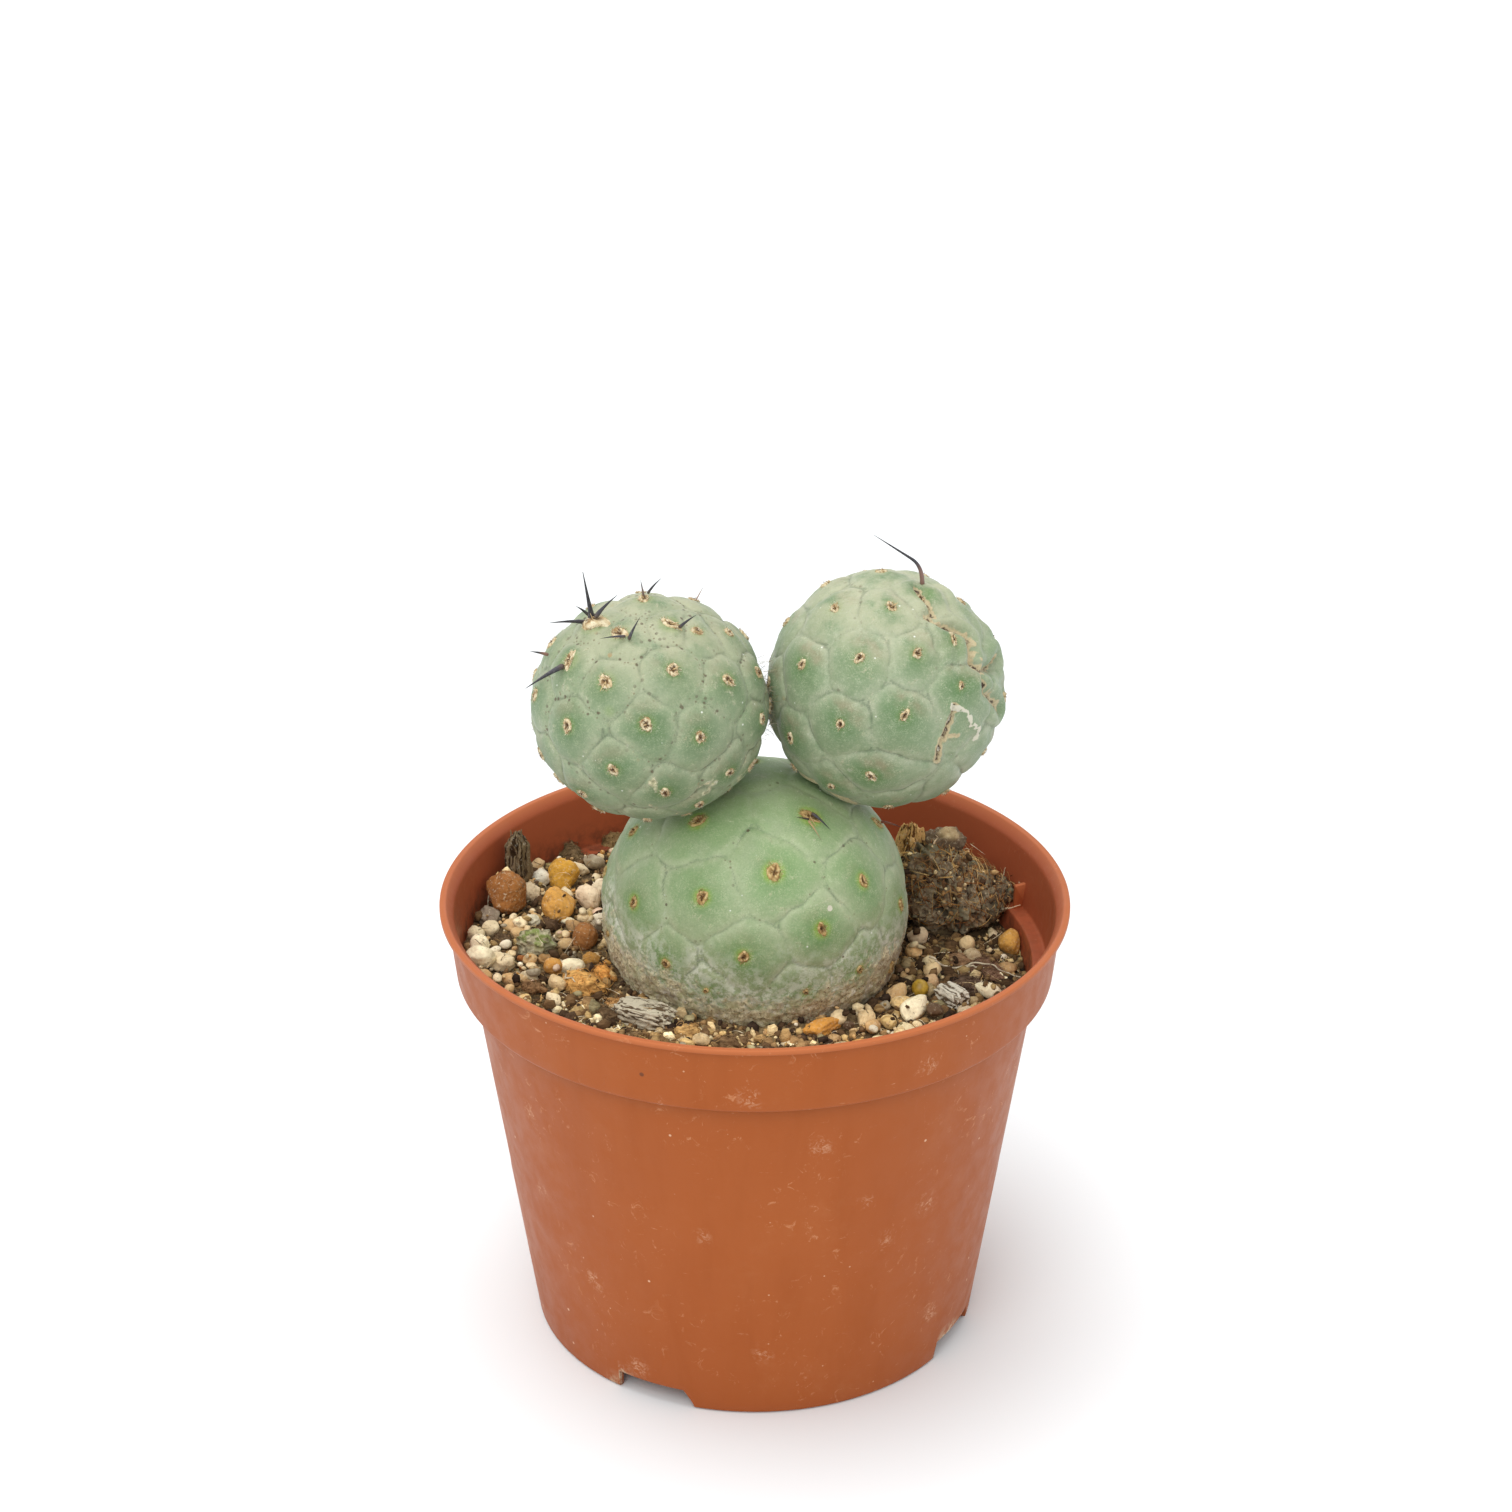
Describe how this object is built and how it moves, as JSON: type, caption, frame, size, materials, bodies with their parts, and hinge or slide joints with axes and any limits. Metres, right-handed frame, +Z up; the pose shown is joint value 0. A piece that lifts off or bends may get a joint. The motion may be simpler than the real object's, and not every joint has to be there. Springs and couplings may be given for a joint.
{
  "type": "potted round cactus",
  "caption": "Three round grey-green cactus segments with short dark spines, growing in gritty soil in a tapered terracotta-coloured plastic nursery pot with drainage notches.",
  "frame": {"origin": "centre of the pot's foot, on the surface that the pot stands on", "axes": "+Z up; -Y is the front; +X to the right seen from the front"},
  "size_m": [0.105, 0.105, 0.1407],
  "materials": {
    "terracotta_plastic": "satin moulded terracotta-coloured plastic with scuffs",
    "soil": "dark crumbly peat with pale grit",
    "cactus_skin": "matte waxy grey-green skin with darker green round each areole",
    "areole_wool": "short cream-tan wool round dark brown bristles, drawn in the visual model only",
    "spine": "dark grey-black horny spine",
    "bark": "weathered grey-brown bark",
    "ochre_stone": "rough ochre grit",
    "orange_stone": "rough orange-brown grit",
    "pink_stone": "pinkish cream grit",
    "mossy_stone": "grey grit with dry moss",
    "cream_pumice": "cream pumice",
    "tan_stone": "tan grit",
    "fertiliser": "yellow-olive coated bead",
    "peat": "dark fibrous peat and root clod"
  },
  "bodies": {
    "root": {"pot": "terracotta_plastic", "soil": "soil", "lower_segment": "cactus_skin", "left_segment": "cactus_skin", "right_segment": "cactus_skin", "left_crown_spine_1": "spine", "left_crown_spine_2": "spine", "left_crown_spine_3": "spine", "left_crown_spine_4": "spine", "left_front_spine_1": "spine", "left_front_spine_2": "spine", "left_side_spine_1": "spine", "left_side_spine_2": "spine", "left_top_spine_1": "spine", "left_top_spine_2": "spine", "left_top_spine_3": "spine", "left_back_spine_1": "spine", "right_crown_spine": "spine", "lower_front_spine_1": "spine", "lower_front_spine_2": "spine", "lower_side_spine": "spine", "upright_bark": "bark", "ochre_pebble_1": "ochre_stone", "pink_pebble": "pink_stone", "orange_lump": "orange_stone", "ochre_pebble_2": "ochre_stone", "ochre_pebble_3": "ochre_stone", "mossy_rock": "mossy_stone", "cream_pebble_1": "cream_pumice", "cream_pebble_2": "cream_pumice", "cream_pebble_3": "cream_pumice", "tan_pebble_1": "tan_stone", "cream_pebble_4": "cream_pumice", "bark_chip": "bark", "tan_pebble_2": "tan_stone", "orange_chip": "orange_stone", "tan_pebble_3": "tan_stone", "cream_pebble_5": "cream_pumice", "fertiliser_bead": "fertiliser", "white_bark": "bark", "cream_pebble_6": "cream_pumice", "tan_pebble_4": "tan_stone", "tan_pebble_5": "tan_stone", "ochre_pebble_4": "ochre_stone", "peat_clump": "peat", "cream_pebble_7": "cream_pumice", "ochre_pebble_5": "ochre_stone", "tan_pebble_6": "tan_stone", "cream_pebble_8": "cream_pumice"}
  },
  "joints": []
}
